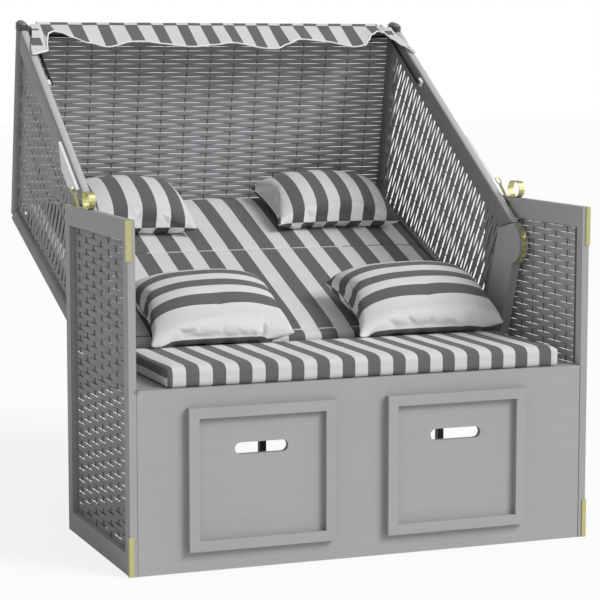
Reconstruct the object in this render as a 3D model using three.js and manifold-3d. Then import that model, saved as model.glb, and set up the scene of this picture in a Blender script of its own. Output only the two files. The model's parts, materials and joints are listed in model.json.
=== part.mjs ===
// Two-seat hooded beach chair: a box-like base with two pull-out footrests, and a woven hood
// that reclines between the base's side panels. Millimetres, +X to the sitter's right as seen
// from the front, +Y to the back, +Z up. The origin is on the floor at the middle of the base.
import * as THREE from 'three';
import { mergeVertices } from 'three/addons/utils/BufferGeometryUtils.js';
import Module from 'manifold-3d';

const wasm = await Module();
wasm.setup();

// Driving dimensions of the base
const base_width = 1180;
const base_depth = 545;
const side_height = 825;
const side_thickness = 18;
const stile_width = 38;
const side_rail_height = 50;
const side_corner_round = 12;
const front_height = 433;
const board_thickness = 18;
const rear_rail_height = 60;
const runner_thickness = 40;

// Footrests
const footrest_left_gap = 120.5;
const footrest_middle_gap = 135;
const footrest_right_gap = 158.5;
const footrest_head_gap = 45;
const footrest_lift = 50;
const footrest_lap = 10;
const footrest_border = 25;
const footrest_recess = 15;
const footrest_back_thickness = 12;
const footrest_rear_gap = 75;
const footrest_top_thickness = 15;
const footrest_leg = 17;
const footrest_foot_height = 25;
const grip_length = 133;
const grip_height = 28;
const grip_rise = 235;

// Hood, in its upright position, measured from the hinge
const hinge_back = 138;
const hinge_rise = 215;
const full_recline = THREE.MathUtils.degToRad(57);
const hood_side_gap = 6;
const hood_side_thickness = 24;
const hood_front = 145;
const hood_peak = 966;
const hood_rear = 375;
const hood_shoulder = 747;
const shoulder_round = 24;
const peak_round = 8;
const hood_heel_angle = THREE.MathUtils.degToRad(-35.6);
const hood_heel_trim = 11.5;
const knob_radius = 50;
const knob_lift = 23;
const sole_slope = THREE.MathUtils.degToRad(14.2);
const front_rail_width = 60;
const front_rail_lift = 24;
const foot_rail_width = 104;
const back_rail_width = 45;
const roof_rail_width = 50;
const cross_rail_width = 40;
const cross_rail_thickness = 11;
const cross_rail_inset = 2;
const foot_cross_setback = 28;
const shoulder_cross_setback = 12;
const top_rail_setback = 7;
const top_rail_drop = 28;
const top_rail_height = 28;
const top_rail_thickness = 20;
const hood_foot_clearance = 5;
const lining_inset = 4;
const roof_lining_start = 18;
const roof_lining_end = 43;

// Woven panels: flat bands over and under round stakes
const band_pitch = 58;
const band_width = 46;
const band_thickness = 3;
const stake_pitch = 117;
const stake_width = 8;
const stake_thickness = 5;
const weave_bite = 0.8;

// Handle boards on the hood's sides
const handle_width = 45;
const handle_length = 205;
const handle_thickness = 8;
const handle_setback = 8;
const handle_clearance = 10;
const handle_foot_slant = 69;
const handle_taper = 60;

// Sunshade
const shade_arm_length = 236;
const shade_pivot_drop = 302;
const shade_pivot_setback = 16;
const shade_rod = 8;
const clip_length = 22;
const clip_width = 16;
const clip_thickness = 8;
const sheet_thickness = 4;
const sheet_drop = 98;
const sheet_hold = 20;
const sheet_margin = 7;

// Brass fittings
const brass_thickness = 2;
const guard_leg = 94;
const guard_face = 9;
const rear_guard_drop = 56;
const rear_guard_reach = 66;
const knob_band_width = 12;
const knob_band_thickness = 3;
const knob_steps = 8;
const knob_hole = 5;
const loop_length = 66;
const loop_height = 43;
const loop_width = 16;
const loop_setbacks = [190, 166];
const strap_width = 36;
const strap_thickness = 3;
const strap_top_lap = 40;
const strap_tail = 18;
const hinge_pin = 12;
const hinge_pin_reach = 18;
const lock_rod = 7;
const lock_ring_width = 17;
const lock_ring_length = 27;
const lock_wire = 3.5;
const lock_ring_setback = 57;
const lock_ring_rise = 37;
const lock_rod_length = 84;
const lock_lean = THREE.MathUtils.degToRad(40);
const lock_inset = 7;

// Cushions and pillows
const seat_pad_left_gap = 69;
const seat_pad_right_gap = 51;
const seat_pad_setback = 48;
const seat_pad_height = 50;
const seat_pad_round = 10;
const back_pad_side_gap = 9;
const back_pad_thickness = 53;
const back_pad_start = -4;
const back_pad_end = 884;
const throw_width_shares = [0.328, 0.354];
const throw_place_shares = [-0.458, 0.528];
const throw_profile = [
  [-108, 0], [-128, 40], [-118, 85], [-84, 126], [-30, 156], [30, 166], [80, 158], [114, 136],
  [120, 118], [98, 86], [80, 60], [44, 37], [-43, 8],
];
const head_width_share = 0.332;
const head_place_share = 0.544;
const head_rim_share = 0.2;
const head_length = 300;
const head_height = 110;
const head_crown = 60;
const head_start = 540;

// Clearances and the one overrun that every cut uses
const seat_gap = 0.3;
const pillow_gap = 1;
const panel_gap = 0.6;
const running_gap = 0.3;
const slide_gap = 0.5;
const overrun = 5;
const round_sides = 8;
const pin_sides = 16;
const bend_steps = 4;

// Finishes
const finish = (color, roughness, metalness) => (
  new THREE.MeshStandardMaterial({ color, roughness, metalness }));
const grey_paint = finish(0x9a9a9a, 0.6, 0);
const grey_rattan = finish(0x70757a, 0.55, 0);
const zinc_brass = finish(0xc8c27a, 0.35, 1);
const striped_cloth = finish(0xcfcfcf, 0.9, 0);
const white_plastic = finish(0xe2e2e2, 0.4, 0);
const black_steel = finish(0x1c1c1c, 0.45, 0.6);

// Values shared by several pieces
const half_width = base_width / 2;
const inner_face = half_width - side_thickness;
const front_face = -base_depth / 2;
const rear_face = base_depth / 2;
const seat_level = front_height;
const hinge_height = seat_level + hinge_rise;
const footrest_height = front_height - footrest_lift - footrest_head_gap;
const footrest_width = inner_face - (footrest_left_gap + footrest_middle_gap + footrest_right_gap) / 2;
const hood_outer = inner_face - hood_side_gap;
const hood_inner = hood_outer - hood_side_thickness;
const weave_depth = stake_thickness + 2 * (band_thickness - weave_bite);
const sides = [['left', -1], ['right', 1]];

// Solid helpers
function solidOf(geometry) {
  const bare = geometry.clone();
  bare.deleteAttribute('normal');
  bare.deleteAttribute('uv');
  const merged = mergeVertices(bare);
  return new wasm.Manifold(new wasm.Mesh({
    numProp: 3,
    vertProperties: new Float32Array(merged.attributes.position.array),
    triVerts: new Uint32Array(merged.index.array),
  }));
}

function geometryOf(solid) {
  const mesh = solid.getMesh();
  const geometry = new THREE.BufferGeometry();
  geometry.setAttribute('position', new THREE.BufferAttribute(new Float32Array(mesh.vertProperties), 3));
  geometry.setIndex(new THREE.BufferAttribute(new Uint32Array(mesh.triVerts), 1));
  geometry.computeVertexNormals();
  return geometry;
}

function joined(geometries) {
  return geometryOf(wasm.Manifold.union(geometries.map(solidOf)));
}

function cutBy(geometry, tools) {
  return geometryOf(tools.reduce((solid, tool) => solid.subtract(solidOf(tool)), solidOf(geometry)));
}

function keptWithin(geometry, mould) {
  return geometryOf(solidOf(geometry).intersect(solidOf(mould)));
}

function extruded(shape, depth) {
  return new THREE.ExtrudeGeometry(shape, { depth, bevelEnabled: false, curveSegments: bend_steps });
}

function outlineOf(points) {
  return new THREE.Shape(points.map(([a, b]) => new THREE.Vector2(a, b)));
}

// Turns a drawing so that its width runs to the back and its height runs up
const side_turn = new THREE.Matrix4().makeBasis(
  new THREE.Vector3(0, 1, 0), new THREE.Vector3(0, 0, 1), new THREE.Vector3(1, 0, 0));

// A profile drawn in the back and up directions, running from low_x to high_x
function sideways(shape, low_x, high_x) {
  return extruded(shape, high_x - low_x).applyMatrix4(side_turn).translate(low_x, 0, 0);
}

function block([low_x, low_y, low_z], [high_x, high_y, high_z]) {
  return new THREE.BoxGeometry(high_x - low_x, high_y - low_y, high_z - low_z)
    .translate((low_x + high_x) / 2, (low_y + high_y) / 2, (low_z + high_z) / 2);
}

function rod(radius, start, end, facets = round_sides) {
  const from = new THREE.Vector3(...start);
  const along = new THREE.Vector3(...end).sub(from);
  const turn = new THREE.Quaternion().setFromUnitVectors(
    new THREE.Vector3(0, 1, 0), along.clone().normalize());
  return new THREE.CylinderGeometry(radius, radius, along.length(), facets)
    .translate(0, along.length() / 2, 0)
    .applyQuaternion(turn)
    .translate(...start);
}

function between(side, near, far) {
  return side < 0 ? [-far, -near] : [near, far];
}

const chair = new THREE.Group();
const hood = new THREE.Group();
hood.position.set(0, hinge_back, hinge_height);
hood.rotation.x = -full_recline;
chair.add(hood);

function place(group, name, geometry, material) {
  const mesh = new THREE.Mesh(geometry, material);
  mesh.name = name;
  group.add(mesh);
  return mesh;
}

// A woven panel in its own plane: bands run along x, stakes stand along y, depth is along z.
// Each band passes in front of one stake and behind the next, and the next band does the opposite.
function wovenPanel(length, height) {
  const swing = stake_thickness / 2 + band_thickness / 2 - weave_bite;
  const stake_count = Math.max(2, Math.floor(length / stake_pitch));
  const band_count = Math.max(2, Math.floor(height / band_pitch));
  const stake_step = length / stake_count;
  const band_step = height / band_count;
  const parts = [];
  for (let stake = 0; stake < stake_count; stake += 1) {
    const x = (stake + 1 / 2) * stake_step;
    parts.push(block([x - stake_width / 2, 0, -stake_thickness / 2],
      [x + stake_width / 2, height, stake_thickness / 2]));
  }
  for (let band = 0; band < band_count; band += 1) {
    const crests = [[0, 0]];
    for (let stake = 0; stake < stake_count; stake += 1) {
      const side = (stake + band) % 2 ? -1 : 1;
      crests.push([(stake + 1 / 2) * stake_step, side * swing]);
    }
    crests.push([length, 0]);
    const under = crests.map(([x, z]) => [x, z - band_thickness / 2]);
    const over = crests.map(([x, z]) => [x, z + band_thickness / 2]).reverse();
    const low = (band + 1 / 2) * band_step - band_width / 2;
    const strip = extruded(outlineOf([...under, ...over]), band_width)
      .applyMatrix4(new THREE.Matrix4().makeBasis(
        new THREE.Vector3(1, 0, 0), new THREE.Vector3(0, 0, 1), new THREE.Vector3(0, -1, 0)))
      .translate(0, low + band_width, 0);
    parts.push(strip);
  }
  return joined(parts);
}

// Base: two side frames, each with a woven infill set near its inner face
function rearCorner(radius) {
  return arcPoints([rear_face - side_corner_round, side_height - side_corner_round],
    radius, 0, Math.PI / 2, bend_steps);
}

function sideFrame(side) {
  const [low_x, high_x] = between(side, inner_face, half_width);
  const board = sideways(outlineOf([
    [front_face, 0], [rear_face, 0], ...rearCorner(side_corner_round), [front_face, side_height],
  ]), low_x, high_x);
  const window_cut = block([low_x - overrun, front_face + stile_width, side_rail_height],
    [high_x + overrun, rear_face - stile_width, side_height - side_rail_height]);
  const [rod_top, rod_end] = lockRodEnds(side);
  return cutBy(board, [window_cut, rod(lock_rod / 2 + running_gap, rod_top, rod_end)]);
}

function sideWeave(side) {
  const length = base_depth - 2 * stile_width - 2 * seat_gap;
  const height = side_height - 2 * side_rail_height - 2 * seat_gap;
  const middle = inner_face + seat_gap + weave_depth / 2;
  return wovenPanel(length, height)
    .applyMatrix4(side_turn)
    .translate(side * middle, front_face + stile_width + seat_gap, side_rail_height + seat_gap);
}

const footrest_places = [
  ['left', footrest_left_gap + footrest_width / 2 - inner_face],
  ['right', inner_face - footrest_right_gap - footrest_width / 2],
];
const mouth_width = footrest_width - 2 * footrest_lap;
const mouth_low = footrest_lift + footrest_lap;
const mouth_high = footrest_lift + footrest_height - footrest_lap;
const footrest_end = rear_face - board_thickness - footrest_rear_gap;

function frontPanel() {
  const board = block([-inner_face, front_face, 0],
    [inner_face, front_face + board_thickness, front_height]);
  const mouths = footrest_places.map(([, middle]) => block(
    [middle - mouth_width / 2, front_face - overrun, mouth_low],
    [middle + mouth_width / 2, front_face + board_thickness + overrun, mouth_high]));
  return cutBy(board, mouths);
}

function seatBoard() {
  return block([-inner_face, front_face + board_thickness, seat_level - board_thickness],
    [inner_face, rear_face, seat_level]);
}

function seatRearRail() {
  return block([-inner_face, rear_face - board_thickness, seat_level - board_thickness - rear_rail_height],
    [inner_face, rear_face, seat_level - board_thickness]);
}

function baseRearRail() {
  return block([-inner_face, rear_face - board_thickness, 0],
    [inner_face, rear_face, rear_rail_height]);
}

// Floor runners carry the footrests' lower rails
function runner(low_x, high_x) {
  return block([low_x, front_face + board_thickness, 0],
    [high_x, rear_face - board_thickness, mouth_low - slide_gap]);
}

for (const [word, side] of sides) {
  place(chair, `${word}_side_frame`, sideFrame(side), grey_paint);
  place(chair, `${word}_side_weave`, sideWeave(side), grey_rattan);
}
place(chair, 'front_panel', frontPanel(), grey_paint);
place(chair, 'seat_board', seatBoard(), grey_paint);
place(chair, 'seat_rear_rail', seatRearRail(), grey_paint);
place(chair, 'base_rear_rail', baseRearRail(), grey_paint);

const [left_footrest_middle, right_footrest_middle] = footrest_places.map(([, middle]) => middle);
const left_run_end = left_footrest_middle - mouth_width / 2 + runner_thickness;
const right_run_end = right_footrest_middle + mouth_width / 2 - runner_thickness;
place(chair, 'left_runner', runner(left_run_end - 2 * runner_thickness, left_run_end), grey_paint);
place(chair, 'centre_runner', runner(left_footrest_middle + mouth_width / 2 - runner_thickness,
  right_footrest_middle - mouth_width / 2 + runner_thickness), grey_paint);
place(chair, 'right_runner', runner(right_run_end, right_run_end + 2 * runner_thickness), grey_paint);

// Footrests: a bordered front with a stadium grip, a top board and a light frame on runners
function footrestFront(middle) {
  const near = front_face - seat_gap - board_thickness;
  const seat = front_face - seat_gap;
  const low_x = middle - footrest_width / 2;
  const high_x = middle + footrest_width / 2;
  const high_z = footrest_lift + footrest_height;
  const plate = block([low_x, near, footrest_lift], [high_x, seat, high_z]);
  const plug = block(
    [middle - mouth_width / 2 + slide_gap, seat - overrun, mouth_low + slide_gap],
    [middle + mouth_width / 2 - slide_gap, seat + footrest_back_thickness, mouth_high - slide_gap]);
  const recess = block([low_x + footrest_border, near - overrun, footrest_lift + footrest_border],
    [high_x - footrest_border, near + footrest_recess, high_z - footrest_border]);
  const grip = new THREE.Shape();
  const straight = (grip_length - grip_height) / 2;
  grip.absarc(straight, 0, grip_height / 2, -Math.PI / 2, Math.PI / 2);
  grip.absarc(-straight, 0, grip_height / 2, Math.PI / 2, 3 * Math.PI / 2);
  const grip_cut = extruded(grip, board_thickness + footrest_back_thickness + 2 * overrun)
    .rotateX(Math.PI / 2)
    .translate(middle, seat + footrest_back_thickness + overrun, footrest_lift + grip_rise);
  return cutBy(joined([plate, plug]), [recess, grip_cut]);
}

function footrestTop(middle) {
  const half = mouth_width / 2 - slide_gap;
  const near = front_face + footrest_back_thickness;
  return block([middle - half, near, mouth_high - slide_gap - footrest_top_thickness],
    [middle + half, footrest_end, mouth_high - slide_gap]);
}

function footrestFrame(middle) {
  const half = mouth_width / 2 - slide_gap;
  const near = front_face + footrest_back_thickness;
  const far = footrest_end;
  const top = mouth_high - slide_gap - footrest_top_thickness;
  const foot_top = mouth_low + footrest_foot_height;
  const edges = [
    [middle - half, middle - half + footrest_leg],
    [middle + half - footrest_leg, middle + half],
  ];
  const rails = edges.map(([low, high]) => block([low, near, mouth_low], [high, far, foot_top]));
  const legs = edges.map(([low, high]) => block([low, far - footrest_leg, mouth_low], [high, far, top]));
  const tie = block([middle - half, far - footrest_leg, mouth_low], [middle + half, far, foot_top]);
  return joined([...rails, ...legs, tie]);
}

for (const [word, middle] of footrest_places) {
  place(chair, `${word}_footrest_front`, footrestFront(middle), grey_paint);
  place(chair, `${word}_footrest_top`, footrestTop(middle), grey_paint);
  place(chair, `${word}_footrest_frame`, footrestFrame(middle), grey_paint);
}

// Brass angle guards on the base's upright front edges
function frontGuard(side, low_z) {
  const edge_x = half_width + seat_gap + brass_thickness;
  const edge_y = front_face - seat_gap - brass_thickness;
  const outline = outlineOf([
    [edge_x, edge_y],
    [edge_x, front_face + guard_face],
    [half_width + seat_gap, front_face + guard_face],
    [half_width + seat_gap, front_face - seat_gap],
    [half_width - guard_face, front_face - seat_gap],
    [half_width - guard_face, edge_y],
  ]);
  const bar = extruded(outline, guard_leg).translate(0, 0, low_z);
  return side > 0 ? bar : mirrored(bar);
}

function mirrored(geometry) {
  const turned = geometry.index ? geometry.toNonIndexed() : geometry.clone();
  turned.scale(-1, 1, 1);
  const corners = turned.attributes.position.array;
  const flipped = new Float32Array(corners.length);
  for (let first = 0; first < corners.length; first += 9) {
    flipped.set(corners.slice(first, first + 3), first);
    flipped.set(corners.slice(first + 6, first + 9), first + 3);
    flipped.set(corners.slice(first + 3, first + 6), first + 6);
  }
  const result = new THREE.BufferGeometry();
  result.setAttribute('position', new THREE.BufferAttribute(flipped, 3));
  result.computeVertexNormals();
  return result;
}

// A flat strip bent in the back and up plane, as an outline of constant thickness
function bentStrip(path, thickness) {
  const left = [];
  const right = [];
  path.forEach((point, index) => {
    const before = path[Math.max(index - 1, 0)];
    const after = path[Math.min(index + 1, path.length - 1)];
    const incoming = new THREE.Vector2(point[0] - before[0], point[1] - before[1]).normalize();
    const outgoing = new THREE.Vector2(after[0] - point[0], after[1] - point[1]).normalize();
    const tangent = incoming.clone().add(outgoing).normalize();
    const widen = 1 / Math.max(tangent.dot(outgoing), tangent.dot(incoming));
    const step = new THREE.Vector2(-tangent.y, tangent.x).multiplyScalar(widen * thickness / 2);
    left.push([point[0] + step.x, point[1] + step.y]);
    right.push([point[0] - step.x, point[1] - step.y]);
  });
  return outlineOf([...right, ...left.reverse()]);
}

function arcPoints(middle, radius, start, end, steps) {
  const points = [];
  for (let step = 0; step <= steps; step += 1) {
    const angle = start + (end - start) * step / steps;
    points.push([middle[0] + radius * Math.cos(angle), middle[1] + radius * Math.sin(angle)]);
  }
  return points;
}

// Rear guard: up the rear edge, round the corner and forward along the top rail
function rearGuard(side) {
  const offset = seat_gap + brass_thickness / 2;
  const path = [
    [rear_face + offset, side_height - rear_guard_drop],
    ...rearCorner(side_corner_round + offset),
    [rear_face - rear_guard_reach, side_height + offset],
  ];
  return sideways(bentStrip(path, brass_thickness), ...between(side, inner_face, half_width));
}

// Loop bracket: a closed strap loop that stands on the top rail
function loopBracket(side) {
  const middle = side * (inner_face + half_width) / 2;
  const rise = side_height + seat_gap + loop_height / 2;
  const back = rear_face - (side < 0 ? loop_setbacks[0] : loop_setbacks[1]);
  const straight = (loop_length - loop_height) / 2;
  const ringOf = (radius) => [
    ...arcPoints([back + straight, rise], radius, -Math.PI / 2, Math.PI / 2, 2 * bend_steps),
    ...arcPoints([back - straight, rise], radius, Math.PI / 2, 3 * Math.PI / 2, 2 * bend_steps),
  ];
  const ring = outlineOf(ringOf(loop_height / 2));
  const eye = outlineOf(ringOf(loop_height / 2 - brass_thickness));
  const low_x = middle - loop_width / 2;
  const high_x = middle + loop_width / 2;
  return cutBy(sideways(ring, low_x, high_x), [sideways(eye, low_x - overrun, high_x + overrun)]);
}

// Hinge strap: hangs from the top rail's inner face and carries the hood's hinge pin
function hingeStrap(side) {
  const outline = outlineOf([
    [hinge_back - strap_width / 2, hinge_height - strap_tail],
    [hinge_back + strap_width / 2, hinge_height - strap_tail],
    [hinge_back + strap_width / 2, side_height - side_rail_height + strap_top_lap],
    [hinge_back - strap_width / 2, side_height - side_rail_height + strap_top_lap],
  ]);
  const far = inner_face - seat_gap;
  const plate = sideways(outline, ...between(side, far - strap_thickness, far));
  const pin = rod(hinge_pin / 2, [side * far, hinge_back, hinge_height],
    [side * (hood_outer - hinge_pin_reach), hinge_back, hinge_height], pin_sides);
  return joined([plate, pin]);
}

// Lock pin: a leaning rod in the top rail, pulled by the ring at its upper end
function lockRodEnds(side) {
  const top = [side * (half_width - lock_inset), rear_face - lock_ring_setback, side_height + lock_ring_rise];
  const reach = lock_rod_length + overrun;
  const bottom = [top[0], top[1] - reach * Math.cos(lock_lean), top[2] - reach * Math.sin(lock_lean)];
  return [top, bottom];
}

function lockPin(side) {
  const [top, bottom] = lockRodEnds(side);
  const shorten = lock_rod_length / (lock_rod_length + overrun);
  const end = top.map((value, axis) => value + (bottom[axis] - value) * shorten);
  const half_wide = (lock_ring_width - lock_wire) / 2;
  const half_long = (lock_ring_length - lock_wire) / 2;
  const start = [top[0], top[1] - half_long * Math.cos(lock_lean), top[2] - half_long * Math.sin(lock_lean)];
  const ring = new THREE.TorusGeometry(half_wide, lock_wire / 2, round_sides / 2, 2 * round_sides)
    .scale(1, half_long / half_wide, 1)
    .rotateX(lock_lean)
    .translate(...top);
  return joined([rod(lock_rod / 2, start, end), ring]);
}

for (const [word, side] of sides) {
  place(chair, `${word}_top_front_guard`, frontGuard(side, side_height - guard_leg), zinc_brass);
  place(chair, `${word}_bottom_front_guard`, frontGuard(side, 0), zinc_brass);
  place(chair, `${word}_top_rear_guard`, rearGuard(side), zinc_brass);
  place(chair, `${word}_loop_bracket`, loopBracket(side), zinc_brass);
  place(chair, `${word}_hinge_strap`, hingeStrap(side), zinc_brass);
  place(chair, `${word}_lock_pin`, lockPin(side), zinc_brass);
}

// Hood side frames, drawn upright about the hinge. Each side is an open frame of four boards
// whose outline runs from the knob along the sole to the heel, shoulder and peak.
// The heel swings just above the seat, so it is cut back to the radius heel_sweep about the hinge.
const heel_sweep = hinge_height - seat_level - hood_foot_clearance;
const heel_reach = heel_sweep + hood_heel_trim;
const heel = [heel_reach * Math.cos(hood_heel_angle), heel_reach * Math.sin(hood_heel_angle)];
const shoulder = [hood_rear, hood_shoulder];
const peak = [-hood_front, hood_peak];
const toe = [-hood_front, 0];
const knob_back = -hood_front + knob_radius;
const sole_front = [knob_back, heel[1] + (heel[0] - knob_back) * Math.tan(sole_slope)];
const knob = [knob_back, sole_front[1] + knob_lift];
const front_rail_end = knob[1] + front_rail_lift;

function lengthOf(start, end) {
  return Math.hypot(end[0] - start[0], end[1] - start[1]);
}

// A point at a distance along an edge and a depth to its left, which is inside the hood
function inset(start, end, distance, depth) {
  const length = lengthOf(start, end);
  const step = [(end[0] - start[0]) / length, (end[1] - start[1]) / length];
  return [start[0] + step[0] * distance - step[1] * depth, start[1] + step[1] * distance + step[0] * depth];
}

function edgeLine(start, end, depth) {
  return [inset(start, end, 0, depth), inset(start, end, lengthOf(start, end), depth)];
}

function crossing([a, b], [c, d]) {
  const first = [b[0] - a[0], b[1] - a[1]];
  const second = [d[0] - c[0], d[1] - c[1]];
  const turn = first[0] * second[1] - first[1] * second[0];
  const reach = ((c[0] - a[0]) * second[1] - (c[1] - a[1]) * second[0]) / turn;
  return [a[0] + first[0] * reach, a[1] + first[1] * reach];
}

// Where a line through two points leaves a circle, on the side of its end point
function leaving(start, end, middle, radius) {
  const length = lengthOf(start, end);
  const step = [(end[0] - start[0]) / length, (end[1] - start[1]) / length];
  const offset = [start[0] - middle[0], start[1] - middle[1]];
  const foot_distance = -(offset[0] * step[0] + offset[1] * step[1]);
  const miss = Math.abs(offset[0] * step[1] - offset[1] * step[0]);
  return inset(start, end, foot_distance + Math.sqrt(radius * radius - miss * miss), 0);
}

const sole_start = leaving(sole_front, heel, knob, knob_radius);
const sole_line = edgeLine(sole_front, heel, foot_rail_width);
const back_line = edgeLine(heel, shoulder, back_rail_width);
const roof_line = edgeLine(shoulder, peak, roof_rail_width);
const front_line = edgeLine(peak, toe, front_rail_width);
const inner_shoulder = crossing(back_line, roof_line);
const inner_peak = crossing(roof_line, front_line);
const inner_heel = crossing(sole_line, back_line);
const inner_toe = crossing(sole_line, front_line);

const heel_low = leaving(sole_front, heel, [0, 0], heel_sweep);
const heel_high = leaving(shoulder, heel, [0, 0], heel_sweep);

// A rounded outer corner, split on its mitre into the halves of the two boards that meet there
function roundedCorner(before, corner, after, radius) {
  const into = Math.atan2(corner[1] - before[1], corner[0] - before[0]);
  const out = Math.atan2(after[1] - corner[1], after[0] - corner[0]);
  const turn = (out - into + 2 * Math.PI) % (2 * Math.PI);
  const tangent = radius * Math.tan(turn / 2);
  const middle = inset(before, corner, lengthOf(before, corner) - tangent, radius);
  const start = into - Math.PI / 2;
  const points = arcPoints(middle, radius, start, start + turn, 2 * bend_steps);
  return [points.slice(0, bend_steps + 1), points.slice(bend_steps)];
}

const [shoulder_start, shoulder_end] = roundedCorner(heel, shoulder, peak, shoulder_round);
const [peak_start, peak_end] = roundedCorner(shoulder, peak, toe, peak_round);

// The knob bulges below the sole line and meets it at this angle
const knob_finish = Math.atan2(sole_start[1] - knob[1], sole_start[0] - knob[0]) + 2 * Math.PI;

function knobArc(radius) {
  return arcPoints(knob, radius, Math.PI, knob_finish, knob_steps);
}

function frontRailOutline() {
  return outlineOf([
    [-hood_front, front_rail_end + running_gap],
    [inner_toe[0], inner_toe[1] + running_gap],
    ...[inner_peak, ...peak_end].map(([back, rise]) => [back, rise - running_gap]),
  ]);
}

function footRailOutline() {
  return outlineOf([
    [-hood_front, front_rail_end],
    ...knobArc(knob_radius),
    heel_low,
    heel_high,
    inner_heel,
    inner_toe,
  ]);
}

// A board outline shortened a little at both mitred ends; each end may be several points
function boardOutline(starts, ends, inner_start, inner_end) {
  const last = starts[starts.length - 1];
  const length = lengthOf(last, ends[0]);
  const step = [(ends[0][0] - last[0]) / length, (ends[0][1] - last[1]) / length];
  const movedBy = (distance) => ([a, b]) => [a + step[0] * distance, b + step[1] * distance];
  return outlineOf([
    ...[inner_start, ...starts].map(movedBy(running_gap)),
    ...[...ends, inner_end].map(movedBy(-running_gap)),
  ]);
}

function hoodSideWeave(side) {
  const mould_points = [
    [inner_toe[0] + panel_gap, inner_toe[1] + panel_gap],
    [inner_heel[0] - panel_gap, inner_heel[1] + panel_gap],
    [inner_shoulder[0] - panel_gap, inner_shoulder[1] - panel_gap],
    [inner_peak[0] + panel_gap, inner_peak[1] - panel_gap],
  ];
  const backs = mould_points.map(([back]) => back);
  const rises = mould_points.map(([, rise]) => rise);
  const [left, right] = [Math.min(...backs), Math.max(...backs)];
  const [low, high] = [Math.min(...rises), Math.max(...rises)];
  const middle = side * (hood_inner + hood_outer) / 2;
  const panel = wovenPanel(right - left, high - low).applyMatrix4(side_turn).translate(middle, left, low);
  const mould = sideways(outlineOf(mould_points), middle - hood_side_thickness / 2,
    middle + hood_side_thickness / 2);
  return keptWithin(panel, mould);
}

// Cross rails between the two hood sides, lying along an edge
const cross_half = hood_inner - running_gap;
const back_length = lengthOf(heel, shoulder);
const roof_length = lengthOf(shoulder, peak);

function slab(start, end, [from, to], [low, high], half) {
  return sideways(outlineOf([
    inset(start, end, from, low), inset(start, end, to, low),
    inset(start, end, to, high), inset(start, end, from, high),
  ]), -half, half);
}

function crossRail(from) {
  return slab(heel, shoulder, [from, from + cross_rail_width],
    [cross_rail_inset, cross_rail_inset + cross_rail_thickness], cross_half);
}

function topRail() {
  const near = -hood_front + top_rail_setback;
  const top = hood_peak - top_rail_drop;
  return block([-cross_half, near, top - top_rail_height], [cross_half, near + top_rail_thickness, top]);
}

// A woven lining that lies along an edge of the hood
function lining(start, end, from, to) {
  const [back, rise] = inset(start, end, from, lining_inset + weave_depth / 2);
  const lean = Math.atan2(end[1] - start[1], end[0] - start[0]);
  return wovenPanel(2 * cross_half, to - from)
    .applyMatrix4(new THREE.Matrix4().makeRotationX(lean))
    .translate(-cross_half, back, rise);
}

const foot_cross_end = foot_cross_setback + cross_rail_width + seat_gap;
const shoulder_cross_start = back_length - shoulder_cross_setback - cross_rail_width;

for (const [word, side] of sides) {
  const limits = between(side, hood_inner, hood_outer);
  const socket = rod(hinge_pin / 2 + running_gap, [side * (hood_outer + overrun), 0, 0],
    [side * (hood_outer - hinge_pin_reach - slide_gap), 0, 0], pin_sides);
  const back_outline = boardOutline([heel_high], shoulder_start, inner_heel, inner_shoulder);
  const roof_outline = boardOutline(shoulder_end, peak_start, inner_shoulder, inner_peak);
  place(hood, `hood_${word}_front_rail`, sideways(frontRailOutline(), ...limits), grey_paint);
  place(hood, `hood_${word}_foot_rail`, cutBy(sideways(footRailOutline(), ...limits), [socket]), grey_paint);
  place(hood, `hood_${word}_back_rail`, sideways(back_outline, ...limits), grey_rattan);
  place(hood, `hood_${word}_roof_rail`, sideways(roof_outline, ...limits), grey_rattan);
  place(hood, `hood_${word}_weave`, hoodSideWeave(side), grey_rattan);
}
place(hood, 'hood_foot_crossrail', crossRail(foot_cross_setback), grey_rattan);
place(hood, 'hood_shoulder_crossrail', crossRail(shoulder_cross_start), grey_rattan);
place(hood, 'hood_top_crossrail', topRail(), grey_rattan);
place(hood, 'hood_back_weave',
  lining(heel, shoulder, foot_cross_end, shoulder_cross_start - seat_gap), grey_rattan);
place(hood, 'hood_roof_weave',
  lining(shoulder, peak, roof_lining_start, roof_length - roof_lining_end), grey_rattan);

// Handle boards on the outer faces, slanted at both ends. They stop just above the base's sides
// when the hood stands upright.
function handleBoard(side) {
  const near = -hood_front + handle_setback;
  const far = near + handle_width;
  const low = side_height - hinge_height + handle_clearance;
  const high = low + handle_length;
  const outline = outlineOf([
    [near, low], [far, low + handle_foot_slant], [far, high - handle_taper], [near, high],
  ]);
  return sideways(outline, ...between(side, hood_outer + seat_gap, hood_outer + seat_gap + handle_thickness));
}

// Perforated brass band round the knob
function knobBand(side) {
  const radius = knob_radius + seat_gap + knob_band_thickness / 2;
  const path = knobArc(radius).slice(0, knob_steps);
  const middle = side * (hood_inner + hood_outer) / 2;
  const drills = path.slice(1).map((end, index) => {
    const start = path[index];
    const aim = Math.atan2((start[1] + end[1]) / 2 - knob[1], (start[0] + end[0]) / 2 - knob[0]);
    const out = (distance) => [
      middle, knob[0] + distance * Math.cos(aim), knob[1] + distance * Math.sin(aim)];
    return rod(knob_hole / 2, out(radius - overrun), out(radius + overrun));
  });
  const limits = [middle - knob_band_width / 2, middle + knob_band_width / 2];
  return cutBy(sideways(bentStrip(path, knob_band_thickness), ...limits), drills);
}

// Sunshade: clips on the front rails, a bent rod between them and the folded sheet
const shade_pivot = [-hood_front + shade_pivot_setback, hood_peak - shade_pivot_drop];
const arm_x = hood_inner - seat_gap - clip_thickness - slide_gap - shade_rod / 2;

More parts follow.
